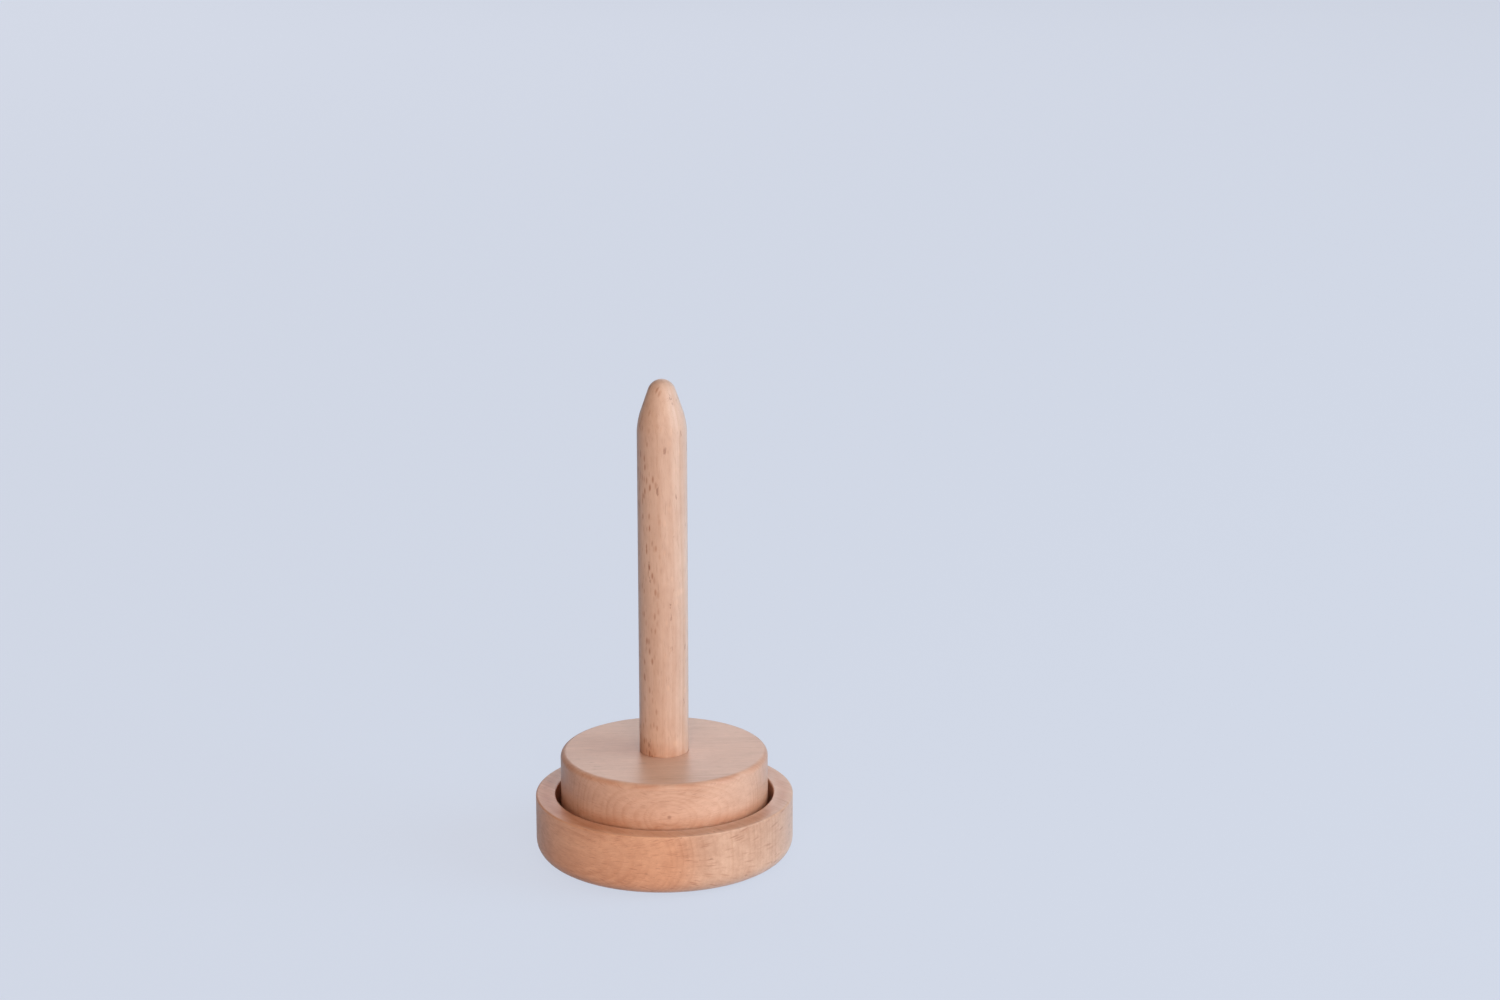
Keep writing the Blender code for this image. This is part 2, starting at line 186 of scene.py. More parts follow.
def keep(name, shape, material, node):
    """Makes a piece from the shape, in place of the node."""
    mesh = bpy.data.meshes.new(name)
    shape.to_mesh(mesh)
    shape.free()
    mesh.materials.append(material)
    mesh.shade_smooth()
    mesh.set_sharp_from_angle(angle=SHARP)
    piece = bpy.data.objects.new(name, mesh)
    bpy.context.scene.collection.objects.link(piece)
    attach(piece, body_of[node])
    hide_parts(node)
    print(f"{name}: {len(mesh.vertices)} corners, rides on {body_of[node]}")
    return piece


# %% [markdown]
# ## Nodes in a few words
#
# A material is a small program, and written out in full it hides its idea. These helpers add one
# node each. A value for an input can be a number, a colour, or the socket that feeds it.

# %% Helpers for nodes
def put(tree, kind, inputs=None, **settings):
    node = tree.nodes.new("ShaderNode" + kind)
    for name, value in settings.items():
        setattr(node, name, value)
    for name, value in (inputs or {}).items():
        if isinstance(value, bpy.types.NodeSocket):
            tree.links.new(value, node.inputs[name])
        else:
            node.inputs[name].default_value = value
    return node


def calc(tree, operation, *values):
    """One sum, and its result."""
    return put(tree, "Math", dict(enumerate(values)), operation=operation).outputs[0]


def move(tree, operation, *values):
    """One sum on vectors, and its result."""
    return put(tree, "VectorMath", dict(enumerate(values)), operation=operation).outputs[0]


def stretch(tree, vector, *sizes):
    """The vector with each part multiplied, which makes a pattern that much finer that way."""
    return move(tree, "MULTIPLY", vector, sizes)


def span(tree, vector):
    """How long a vector is."""
    return put(tree, "VectorMath", {0: vector}, operation="LENGTH").outputs["Value"]


def ramp(tree, value, start, end, low=0.0, high=1.0):
    """A soft step, from low at the start to high at the end."""
    inputs = {"Value": value, "From Min": start, "From Max": end, "To Min": low, "To Max": high}
    return put(tree, "MapRange", inputs, interpolation_type="SMOOTHSTEP").outputs[0]


def tint(tree, factor, first, second, kind="MIX"):
    """Two colours mixed, or the first one multiplied by the second."""
    inputs = {0: factor, 6: first, 7: second}
    return put(tree, "Mix", inputs, data_type="RGBA", blend_type=kind).outputs[2]


def noise(tree, vector, detail=2.0, roughness=0.5, output=0):
    inputs = {"Vector": vector, "Scale": 1, "Detail": detail, "Roughness": roughness}
    return put(tree, "TexNoise", inputs).outputs[output]


def wobble(tree, value, scale, detail=1.0):
    """Noise along a line, from 0 to 1."""
    inputs = {"W": value, "Scale": scale, "Detail": detail}
    return put(tree, "TexNoise", inputs, noise_dimensions="1D").outputs[0]


def new_group(name, inputs, outputs):
    """An empty node group, with its input sockets as outputs to read and the other way round."""
    group = bpy.data.node_groups.new(name, "ShaderNodeTree")
    for socket, kind in inputs.items():
        group.interface.new_socket(socket, in_out="INPUT", socket_type="NodeSocket" + kind)
    for socket, kind in outputs.items():
        group.interface.new_socket(socket, in_out="OUTPUT", socket_type="NodeSocket" + kind)
    given = group.nodes.new("NodeGroupInput").outputs
    made = group.nodes.new("NodeGroupOutput").inputs
    return group, given, made


def use(tree, group, inputs):
    """A group placed in a material, with its own values."""
    node = put(tree, "Group", node_tree=group)
    for name, value in inputs.items():
        if isinstance(value, bpy.types.NodeSocket):
            tree.links.new(value, node.inputs[name])
        else:
            node.inputs[name].default_value = value
    return node.outputs


# %% [markdown]
# ## Beech
#
# Beech has four kinds of mark. Growth rings are faint, and darken slowly before each winter's
# line. Fibres run along the grain. Pores are fine dark hairs. Rays are thin sheets that stand
# out from the tree's middle: where the surface cuts across them they are short dark dashes, and
# where it runs along them they are broad pale flakes. One group makes them all from a place in
# the tree, with the grain along Z and the middle of the trunk at the origin. So a turned piece
# shows arcs, lines or end grain where the real one would, and no seam.

# %% The beech group: a trunk that wanders a little
beech, given, made = new_group(
    "beech figure",
    {
        "Place": "Vector",
        "Facing": "Vector",
        "Off the knot": "Float",
        "Sap and sheen radius": "Float",
        "Ring width": "Float",
        "Ring strength": "Float",
        "Ray strength": "Float",
        "Fleck strength": "Float",
        "Light wood": "Color",
        "Dark wood": "Color",
    },
    {"Colour": "Color", "Roughness": "Float", "Height": "Float"},
)
WANDER = 7 * MM
WANDER_FINENESS = (22, 22, 6)

drift = noise(beech, stretch(beech, given["Place"], *WANDER_FINENESS), output="Color")
drift = stretch(beech, move(beech, "SUBTRACT", drift, (0.5, 0.5, 0.5)), WANDER, WANDER, WANDER)
trunk = move(beech, "ADD", given["Place"], drift)
trunk_parts = put(beech, "SeparateXYZ", {0: trunk}).outputs
radius = span(beech, stretch(beech, trunk, 1, 1, 0))
angle = calc(beech, "ARCTAN2", trunk_parts["Y"], trunk_parts["X"])
print("The trunk wanders by up to", WANDER / 2 / MM, "mm")

# %% [markdown]
# A small knot draws the rings in towards itself, so on the surface they close into ovals. The
# material says how far each place is from its knot, and the wood is youngest close to it.

# %% The beech group: growth rings, each darkest at its outer edge
KNOT_REACH = 13 * MM
KNOT_RINGS = 3.2
UNEVEN_FINENESS, UNEVEN_RINGS = 130, 1.6
FAINT_FINENESS = (60, 60, 25)

uneven = calc(beech, "MULTIPLY", wobble(beech, radius, UNEVEN_FINENESS), UNEVEN_RINGS)
age = calc(beech, "ADD", calc(beech, "DIVIDE", radius, given["Ring width"]), uneven)
age = calc(beech, "ADD", age, ramp(beech, given["Off the knot"], 0, KNOT_REACH, -KNOT_RINGS, 0))
season = calc(beech, "FRACT", age)
late = calc(beech, "MULTIPLY", ramp(beech, season, 0.3, 0.9), ramp(beech, season, 0.93, 1, 1, 0))
year = put(beech, "TexWhiteNoise", {"W": calc(beech, "FLOOR", age)}, noise_dimensions="1D")
faint = noise(beech, stretch(beech, trunk, *FAINT_FINENESS), 2)
ring = calc(beech, "MULTIPLY", late, ramp(beech, year.outputs["Value"], 0, 1, 0.3, 1))
ring = calc(beech, "MULTIPLY", ring, ramp(beech, faint, 0.3, 0.65, 0.25, 1))

# %% The beech group: rays, as cells that are thin round the trunk and long out from it
RAY_COUNT = (950, 120, 230)
RAY_CIRCLE = 60 * MM

sheet = put(beech, "CombineXYZ", {"Y": radius, "Z": trunk_parts["Z"]})
beech.links.new(calc(beech, "MULTIPLY", angle, RAY_CIRCLE), sheet.inputs["X"])
ragged = move(beech, "ADD", sheet.outputs[0], drift)
cells = put(beech, "TexVoronoi", {"Vector": stretch(beech, ragged, *RAY_COUNT), "Scale": 1})
boldness = put(beech, "SeparateColor", {0: cells.outputs["Color"]}).outputs["Red"]
ray = ramp(beech, cells.outputs["Distance"], 0.12, 0.48, 1, 0)
ray = calc(beech, "MULTIPLY", ray, ramp(beech, boldness, 0.3, 1, 0.1, 1))
facing = put(beech, "SeparateXYZ", {0: given["Facing"]}).outputs
broad = ramp(beech, calc(beech, "ABSOLUTE", facing["Y"]), 0.45, 0.95)

# %% [markdown]
# A few rays and gum marks are far bolder than the rest. They get cells of their own, half
# as large again, and only one cell in six is inked. Its own chance also sets how large the mark is.

# %% The beech group: bold flecks
FLECK_COUNT = (700, 400, 150)
INKED_FROM = 0.83
LARGEST_FLECK, SMALLEST_FLECK = 0.40, 0.02
CRUMB_FINENESS = (1500, 1500, 500)
CRUMB_SIZE = (0.9, 0.9, 0.9)

crumb = noise(beech, stretch(beech, sheet.outputs[0], *CRUMB_FINENESS), 2, output="Color")
crumb = stretch(beech, move(beech, "SUBTRACT", crumb, (0.5, 0.5, 0.5)), *CRUMB_SIZE)
torn = move(beech, "ADD", stretch(beech, ragged, *FLECK_COUNT), crumb)
large = put(beech, "TexVoronoi", {"Vector": torn, "Scale": 1})
chance = put(beech, "SeparateColor", {0: large.outputs["Color"]}).outputs["Green"]
fleck_size = ramp(beech, chance, INKED_FROM, 1, 0, LARGEST_FLECK)
fleck = calc(beech, "SUBTRACT", 1, calc(beech, "DIVIDE", large.outputs["Distance"], fleck_size))
drawn = calc(beech, "GREATER_THAN", fleck_size, SMALLEST_FLECK)
fleck = calc(beech, "MULTIPLY", ramp(beech, fleck, 0, 0.5), drawn)

# %% The beech group: fibres, pores and clouds of colour
FIBRE_FINENESS = (1300, 1300, 26)
STREAK_FINENESS = (330, 330, 9)
PORE_FINENESS = (4200, 4200, 260)
CLOUD_FINENESS = (55, 55, 20)
MOTTLE_FINENESS = (420, 420, 190)

fibre = noise(beech, stretch(beech, trunk, *FIBRE_FINENESS), 3, 0.6)
streak = noise(beech, stretch(beech, trunk, *STREAK_FINENESS), 2)
pore = ramp(beech, noise(beech, stretch(beech, trunk, *PORE_FINENESS), 1), 0.6, 0.72)
cloud = noise(beech, stretch(beech, trunk, *CLOUD_FINENESS), 5, 0.62)
mottle = noise(beech, stretch(beech, trunk, *MOTTLE_FINENESS), 3, 0.6)

# %% The beech group: the marks laid over each other
RING_TINT = (0.82, 0.68, 0.57, 1)
# Paler, cooler tint past the heart: partly sapwood, partly painted sheen on the base's right side.
SAP_AND_SHEEN_TINT = (0.99, 1.20, 1.42, 1)
RAY_DARK = (0.62, 0.42, 0.31, 1)
RAY_PALE = (1.10, 1.10, 1.08, 1)
FLECK_TINT = (0.42, 0.25, 0.18, 1)
PORE_TINT = (0.62, 0.48, 0.38, 1)
END_TINT = (0.86, 0.78, 0.72, 1)
TONE_SHARES = ((cloud, 0.5), (streak, 0.2), (fibre, 0.15), (mottle, 0.2))
SAP_AND_SHEEN_FROM, SAP_AND_SHEEN_FULL = 1, 1.6
KNOT_EDGE, KNOT_FADE = 0.2 * MM, 1.2 * MM
KNOT_INK = 0.55
PORE_INK = 0.3
END_INK = 0.5

tone = 0.0
for pattern, share in TONE_SHARES:
    tone = calc(beech, "ADD", tone, ramp(beech, pattern, 0.3, 0.7, 0, share))
wood = tint(beech, tone, given["Light wood"], given["Dark wood"])
# Past the heart the wood turns paler and cooler, which paints the sheen on the base's right side.
sap_and_sheen_reach = calc(beech, "DIVIDE", radius, given["Sap and sheen radius"])
wood = tint(beech, ramp(beech, sap_and_sheen_reach, SAP_AND_SHEEN_FROM, SAP_AND_SHEEN_FULL), wood, SAP_AND_SHEEN_TINT, "MULTIPLY")
wood = tint(beech, calc(beech, "MULTIPLY", ring, given["Ring strength"]), wood, RING_TINT, "MULTIPLY")
ray_tint = tint(beech, broad, RAY_DARK, RAY_PALE)
wood = tint(beech, calc(beech, "MULTIPLY", ray, given["Ray strength"]), wood, ray_tint, "MULTIPLY")
wood = tint(beech, calc(beech, "MULTIPLY", pore, PORE_INK), wood, PORE_TINT, "MULTIPLY")
heart = ramp(beech, given["Off the knot"], KNOT_EDGE, KNOT_FADE, KNOT_INK, 0)
inked = calc(beech, "MAXIMUM", calc(beech, "MULTIPLY", fleck, given["Fleck strength"]), heart)
wood = tint(beech, inked, wood, FLECK_TINT, "MULTIPLY")
end_grain = ramp(beech, calc(beech, "ABSOLUTE", facing["Z"]), 0.5, 1)
wood = tint(beech, calc(beech, "MULTIPLY", end_grain, END_INK), wood, END_TINT, "MULTIPLY")
beech.links.new(wood, made["Colour"])

# %% [markdown]
# The marks can be felt as well as seen. Fibres stand a little proud of the surface, pores and
# dark marks lie a little below it, and pores and end grain drink varnish, so they are duller.

# %% The beech group: gloss and relief
SANDED_GLOSS, SANDED_DULL = 0.42, 0.54
PORE_DULL, END_DULL = 0.12, 0.06
FIBRE_RISE, PORE_SINK, INK_SINK = 0.5, 0.8, 0.6

dull = ramp(beech, fibre, 0.3, 0.7, SANDED_GLOSS, SANDED_DULL)
dull = calc(beech, "ADD", dull, calc(beech, "MULTIPLY", pore, PORE_DULL))
dull = calc(beech, "ADD", dull, calc(beech, "MULTIPLY", end_grain, END_DULL))
beech.links.new(dull, made["Roughness"])
sunk = calc(beech, "MULTIPLY", pore, PORE_SINK)
sunk = calc(beech, "ADD", sunk, calc(beech, "MULTIPLY", inked, INK_SINK))
relief = calc(beech, "SUBTRACT", calc(beech, "MULTIPLY", fibre, FIBRE_RISE), sunk)
beech.links.new(relief, made["Height"])
print("The beech group has", len(beech.nodes), "nodes")

# %% [markdown]
# Two smaller groups go on turned things. A cutting tool leaves rings round the axis, which
# sanding never quite takes out: one noise along radius plus height runs round sides and flats
# alike. The other darkens a ring round an edge, in patches: on the disc's top edge that is wear
# from hands and yarn, and at the spindle's foot, on the disc's side at the rim's height and on
# the base's rim it is painted shade.

# %% The group for lathe marks
PATCH_FINENESS = (45, 45, 45)


def round_axis(tree, vector):
    """How far a place is from the axis, and how high it is."""
    return span(tree, stretch(tree, vector, 1, 1, 0)), put(tree, "SeparateXYZ", {0: vector}).outputs["Z"]


lathe, given, made = new_group(
    "lathe marks", {"Place": "Vector", "Lines per metre": "Float"}, {"Lines": "Float"}
)
along = calc(lathe, "ADD", *round_axis(lathe, given["Place"]))
lines = wobble(lathe, calc(lathe, "MULTIPLY", along, given["Lines per metre"]), 1, 3)
patches = ramp(lathe, noise(lathe, stretch(lathe, given["Place"], *PATCH_FINENESS)), 0.35, 0.7, 0.3, 1)
lathe.links.new(calc(lathe, "MULTIPLY", lines, patches), made["Lines"])

# %% The group for edge wear and painted shade
WEAR_AND_SHADE_FINENESS = (90, 90, 90)

wear_and_shade, given, made = new_group(
    "edge wear and painted shade",
    {"Place": "Vector", "Radius": "Float", "Height": "Float", "Reach": "Float"},
    {"Mask": "Float"},
)
# Darkens a ring round the axis at a radius and height, in patches: wear on the disc's top edge, painted
# shade at the joints and on the base's rim.
axis_distance, axis_height = round_axis(wear_and_shade, given["Place"])
off = put(wear_and_shade, "CombineXYZ", {"X": calc(wear_and_shade, "SUBTRACT", axis_distance, given["Radius"])})
wear_and_shade.links.new(calc(wear_and_shade, "SUBTRACT", axis_height, given["Height"]), off.inputs["Y"])
reached = calc(wear_and_shade, "DIVIDE", span(wear_and_shade, off.outputs[0]), given["Reach"])
wear_and_shade_patches = noise(wear_and_shade, stretch(wear_and_shade, given["Place"], *WEAR_AND_SHADE_FINENESS), 3, 0.6)
wear_and_shade_patches = ramp(wear_and_shade, wear_and_shade_patches, 0.3, 0.6, 0.2, 1)
wear_and_shade.links.new(calc(wear_and_shade, "MULTIPLY", ramp(wear_and_shade, reached, 0, 1, 1, 0), wear_and_shade_patches), made["Mask"])

# %% [markdown]
# ## The wooden pieces
#
# A material for a wooden piece says how the piece lay in its tree. A Mapping node in Texture
# mode undoes a place and a turn, so its Location is where the middle of the trunk ran and its
# Rotation is how the trunk leaned, both as seen from the piece. Further from the middle than the
# heartwood, the wood is paler and cooler: partly sapwood, and on the base partly painted sheen
# on its right side. A satin varnish lies over it, so the shader's coat is nearly full and a
# little rough, and the wood under it has little gloss of its own.

# %% A beech material
BUMP = 0.05 * MM
# The tint of worn edges, and of the painted shade at joints and on the base's rim.
WEAR_AND_SHADE_TINT = (0.86, 0.70, 0.61, 1)
VARNISH = 0.9
VARNISH_ROUGHNESS = 0.36
UNDER_VARNISH = 0.15
NO_KNOT = 1.0
NO_SAP_AND_SHEEN = 500
SANDED = 900


def new_material(name):
    material = bpy.data.materials.new(name)
    material.use_nodes = True
    tree = material.node_tree
    return material, tree, tree.nodes["Principled BSDF"], put(tree, "TexCoord").outputs


def raise_surface(tree, shader, height, distance):
    bump = put(tree, "Bump", {"Height": height, "Distance": distance, "Strength": 1})
    tree.links.new(bump.outputs[0], shader.inputs["Normal"])


def lay_in_tree(tree, vector, **placing):
    return put(tree, "Mapping", {"Vector": vector, **placing}, vector_type="TEXTURE").outputs[0]


def beech_wood(
    name, pith, lean, light, dark, figure, knot=None, edges=(), lines=SANDED, sap_and_sheen_radius=NO_SAP_AND_SHEEN
):
    """Beech from a trunk whose middle runs through pith and leans by lean, in mm and degrees.

    Figure is the ring width in mm, then the strengths of rings, rays and flecks. Edges are
    (radius, height, reach) of darkened rings: wear on an edge, painted shade at a joint. The
    heart's radius is where a paler, cooler tint starts, partly sapwood and on the base partly
    painted sheen. All are in mm. Lines are the lathe marks in a metre.
    """
    material, tree, shader, place = new_material(name)
    lean = [math.radians(part) for part in lean]
    off_knot = NO_KNOT
    if knot is not None:
        offset = move(tree, "SUBTRACT", place["Object"], Vector(knot) * MM)
        off_knot = span(tree, offset)
    wood = use(
        tree,
        beech,
        {
            "Place": lay_in_tree(tree, place["Object"], Location=Vector(pith) * MM, Rotation=lean),
            "Facing": lay_in_tree(tree, place["Normal"], Rotation=lean),
            "Off the knot": off_knot,
            "Sap and sheen radius": sap_and_sheen_radius * MM,
            "Ring width": figure[0] * MM,
            "Ring strength": figure[1],
            "Ray strength": figure[2],
            "Fleck strength": figure[3],
            "Light wood": (*light, 1),
            "Dark wood": (*dark, 1),
        },
    )
    colour = wood["Colour"]
    # Each ring is darkened, as wear on an edge and as painted shade at a joint.
    for edge in edges:
        sizes = dict(zip(("Radius", "Height", "Reach"), Vector(edge) * MM))
        mask = use(tree, wear_and_shade, {"Place": place["Object"], **sizes})["Mask"]
        colour = tint(tree, mask, colour, WEAR_AND_SHADE_TINT, "MULTIPLY")
    tree.links.new(colour, shader.inputs["Base Color"])
    tree.links.new(wood["Roughness"], shader.inputs["Roughness"])
    shader.inputs["Specular IOR Level"].default_value = UNDER_VARNISH
    shader.inputs["Coat Weight"].default_value = VARNISH
    shader.inputs["Coat Roughness"].default_value = VARNISH_ROUGHNESS
    marks = use(tree, lathe, {"Place": place["Object"], "Lines per metre": lines})["Lines"]
    raise_surface(tree, shader, calc(tree, "ADD", wood["Height"], marks), BUMP)
    return material


# %% [markdown]
# ### The base
#
# A block 105 mm across. From the top outer edge its outline runs down the side, round the foot,
# in under the flat, up the hole for the screw's head, out over the ledge that carries the
# bearing, up the bearing's seat, across the recess floor and up the recess wall.

# %% The base
base_low, base_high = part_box("base_bowl")
base_radius, base_bottom, base_top = base_high.x / MM, base_low.z / MM, base_high.z / MM
BASE_STEPS = 288
FOOT_ROUNDING = 7
RECESS_RADIUS = 44.5
RECESS_FLOOR = 13.5
SEAT_RADIUS = 9.65
LEDGE = 8.5
HEAD_HOLE = 7.25
base_beech = beech_wood(
    "base_beech",
    pith=(-47, -39, 15),
    lean=(90, 0, 43),
    light=(0.765, 0.375, 0.222),
    dark=(0.555, 0.235, 0.126),
    figure=(2.1, 0.45, 0.65, 0.4),
    # Painted shade: the rim's top is darker and warmer all round, in patches, beside the raised disc.
    edges=[((base_radius + RECESS_RADIUS) / 2, base_top, 4.6)],
    # Past 27 mm from the trunk's middle, over most of its right side, the base takes the pale tint that
    # paints its sheen.
    sap_and_sheen_radius=27,
)
base_shape = turn(
    outline(
        [
            (base_radius, base_top, 0.7),
            (base_radius, base_bottom, FOOT_ROUNDING),
            (HEAD_HOLE, base_bottom, 0.4),
            (HEAD_HOLE, LEDGE, 0),
            (SEAT_RADIUS, LEDGE, 0),
            (SEAT_RADIUS, RECESS_FLOOR, 0.3),
            (RECESS_RADIUS, RECESS_FLOOR, 1),
            (RECESS_RADIUS, base_top, 0.6),
        ]
    ),
    BASE_STEPS,
)
keep("turned_base", base_shape, base_beech, "base_bowl")

# %% [markdown]
# ### The disc
#
# The disc was cut from a board whose grain runs from left to right. The middle of the tree lay
# just in front of it, so its front shows long ovals, its ends show the rings on end, and its top
# shows straight lines. A tiny knot sits where the ovals close. The disc's side is painted a
# little darker at the height of the rim, as the shade of the narrow gap.

# %% The disc
disc_low, disc_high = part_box("turntable_disc")
disc_radius, disc_bottom, disc_top = disc_high.x / MM, disc_low.z / MM, disc_high.z / MM
SCREW_HOLE = 3.25
WEB_TOP = 24.6
MORTISE = 7.25
SHOULDER_SEAT = 10.03
SEAT_DEPTH = 0.3
DISC_STEPS = 256
KNOT = Vector((3, -disc_radius, 31.5))
KNOT_TO_PITH = Vector((0, -10, -2))
disc_beech = beech_wood(
    "disc_beech",
    pith=KNOT + KNOT_TO_PITH,
    lean=(90, 0, 95),
    light=(0.725, 0.405, 0.28),
    dark=(0.575, 0.295, 0.19),
    figure=(1.8, 0.5, 0.4, 0.3),
    knot=KNOT,
    # A worn top edge, and painted shade on the side at the rim's height.
    edges=[(disc_radius, disc_top, 3), (disc_radius, base_top, 4.5)],
)
disc_shape = turn(
    outline(
        [
            (disc_radius, disc_top, 2.3),
            (disc_radius, disc_bottom, 1.2),
            (SCREW_HOLE, disc_bottom, 0.3),
            (SCREW_HOLE, WEB_TOP, 0),
            (MORTISE, WEB_TOP, 0),
            (MORTISE, disc_top - SEAT_DEPTH, 0),
            (SHOULDER_SEAT, disc_top - SEAT_DEPTH, 0),
            (SHOULDER_SEAT, disc_top, 0.05),
        ]
    ),
    DISC_STEPS,
)
keep("turned_disc", disc_shape, disc_beech, "turntable_disc")

# %% [markdown]
# ### The spindle
#
# A dowel with straight grain. Its tip is a cone between a small dome and the shaft. The dome is
# the rounding of the corner where the cone would meet a flat end, and its size is the one whose
# rounding starts right on the axis. The cone meets the shaft in a long easy curve.

# %% The spindle
spindle_low, spindle_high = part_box("spindle")
shaft, tip, tenon_end = spindle_high.x / MM, spindle_high.z / MM, spindle_low.z / MM
SPINDLE_STEPS = 144
TAPER_LENGTH = 17.3
DOME = 5.7
NEARLY = 0.999
BLEND = 26
TENON = 7.1
TENON_CHAMFER = 0.8
INSERT_HOLE = 4.9
HOLE_DEPTH = 15.5
DRILL_POINT = 2.6
dome_centre = TAPER_LENGTH - DOME
cone = math.atan2(shaft, dome_centre) - math.asin(DOME / math.hypot(shaft, dome_centre))
dome_corner = shaft - TAPER_LENGTH * math.tan(cone)
spindle_beech = beech_wood(
    "spindle_beech",
    pith=(46, 34, 41),
    lean=(0, 0, -143.5),
    light=(0.705, 0.44, 0.325),
    dark=(0.55, 0.305, 0.21),
    figure=(2.9, 0.4, 0.95, 0.55),
    # Painted shade: the spindle is darker near its foot, where it meets the disc.
    edges=[(shaft, disc_top, 8)],
    lines=300,
)
spindle_shape = turn(
    outline(
        [
            (0, tip, 0),
            (dome_corner, tip, DOME * NEARLY),
            (shaft, tip - TAPER_LENGTH, BLEND),
            (shaft, disc_top, 0.05),
            (TENON, disc_top, 0),
            (TENON, tenon_end + TENON_CHAMFER, 0),
            (TENON - TENON_CHAMFER, tenon_end, 0),
            (INSERT_HOLE, tenon_end, 0),
            (INSERT_HOLE, tenon_end + HOLE_DEPTH, 0),
            (0, tenon_end + HOLE_DEPTH + DRILL_POINT, 0),
        ],
        closed=False,
    ),
    SPINDLE_STEPS,
)
keep("turned_spindle", spindle_shape, spindle_beech, "spindle")

# %% [markdown]
# ## The rubber pads
#
# Four pads under the base keep it from sliding. Moulded rubber is dull and never quite even: it
# has a fine pebbled skin, and picks up dust in spots. A rounded lower edge lets it grip.

# %% Pads
PAD_COUNT = 4
PAD_STEPS = 64
PEBBLE_FINENESS = (2600, 2600, 2600)
DUST_FINENESS = (900, 900, 900)
RUBBER, DUSTY_RUBBER = (0.030, 0.029, 0.028, 1), (0.085, 0.080, 0.074, 1)

pad_rubber, tree, shader, place = new_material("pad_rubber")
skin = noise(tree, stretch(tree, place["Object"], *PEBBLE_FINENESS), 2)
dust = ramp(tree, noise(tree, stretch(tree, place["Object"], *DUST_FINENESS), 3, 0.65), 0.55, 0.75)
rubber_colour = tint(tree, dust, RUBBER, DUSTY_RUBBER)
tree.links.new(rubber_colour, shader.inputs["Base Color"])
tree.links.new(ramp(tree, skin, 0.3, 0.7, 0.68, 0.88), shader.inputs["Roughness"])
raise_surface(tree, shader, skin, 0.05 * MM)

for number in range(1, PAD_COUNT + 1):
    low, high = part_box(f"foot_pad_{number}")
    rim, bottom, top = (high.x - low.x) / 2 / MM, low.z / MM, high.z / MM
    corners = [(0, bottom, 0), (rim, bottom, 0.45), (rim, top, 0.12), (0, top, 0)]
    pad = turn(outline(corners, closed=False), PAD_STEPS)
    pad_middle = Vector(((low.x + high.x) / 2, (low.y + high.y) / 2, 0))
    bmesh.ops.translate(pad, vec=pad_middle, verts=pad.verts)
    keep(f"rubber_pad_{number}", pad, pad_rubber, f"foot_pad_{number}")

# %% [markdown]
# ## The metals
#
# Bare metal shows how it was made in its gloss more than in its colour. Ground and turned faces
# carry fine rings round the axis, and plating and tarnish lie over them in soft clouds. So one
# group takes the lathe marks and a cloud, and one function builds each metal from its values.

# %% A metal material
GROOVE_TINT = (0.6, 0.6, 0.6, 1)

patina, given, made = new_group(
    "patina",
    {
        "Place": "Vector",
        "Clouds per metre": "Float",
        "Clean": "Color",
        "Aged": "Color",
        "Smooth": "Float",
        "Rough": "Float",
    },
    {"Colour": "Color", "Roughness": "Float"},
)
scaled = put(patina, "VectorMath", {0: given["Place"]}, operation="SCALE")
patina.links.new(given["Clouds per metre"], scaled.inputs["Scale"])
bloom = ramp(patina, noise(patina, scaled.outputs[0], 4, 0.6), 0.35, 0.7)
patina.links.new(tint(patina, bloom, given["Clean"], given["Aged"]), made["Colour"])
rough = put(patina, "MapRange", {"Value": bloom, "To Min": given["Smooth"], "To Max": given["Rough"]})
patina.links.new(rough.outputs[0], made["Roughness"])


def metal(name, clean, aged, gloss, clouds, lines, depth):
    """A metal with two colours, and gloss, its roughness where it is clean and where it is aged.

    Clouds and lines are counted in a metre, and depth is that of the lathe marks, in mm.
    """
    material, tree, shader, place = new_material(name)
    values = {"Place": place["Object"], "Clouds per metre": clouds}
    values |= {"Clean": (*clean, 1), "Aged": (*aged, 1), "Smooth": gloss[0], "Rough": gloss[1]}
    surface = use(tree, patina, values)
    marks = use(tree, lathe, {"Place": place["Object"], "Lines per metre": lines})["Lines"]
    grooves = ramp(tree, marks, 0.2, 0.6, 0, 0.35)
    grooved = tint(tree, grooves, surface["Colour"], GROOVE_TINT, "MULTIPLY")
    tree.links.new(grooved, shader.inputs["Base Color"])
    tree.links.new(surface["Roughness"], shader.inputs["Roughness"])
    shader.inputs["Metallic"].default_value = 1
    raise_surface(tree, shader, marks, depth * MM)
    return material


ground_steel = metal(
    "ground_steel", (0.66, 0.66, 0.67), (0.56, 0.56, 0.57), (0.16, 0.28), 250, 9000, 0.004
)
polished_steel = metal(
    "polished_steel", (0.72, 0.72, 0.73), (0.66, 0.66, 0.67), (0.05, 0.12), 600, 3000, 0.0005
)
shield_steel = metal(
    "shield_steel", (0.58, 0.58, 0.58), (0.50, 0.50, 0.49), (0.30, 0.42), 500, 5000, 0.008
)
zinc_steel = metal(
    "zinc_steel", (0.64, 0.66, 0.70), (0.56, 0.57, 0.56), (0.22, 0.45), 900, 6000, 0.01
)
turned_brass = metal(
    "turned_brass", (0.78, 0.55, 0.24), (0.62, 0.42, 0.18), (0.20, 0.36), 300, 7000, 0.012
)

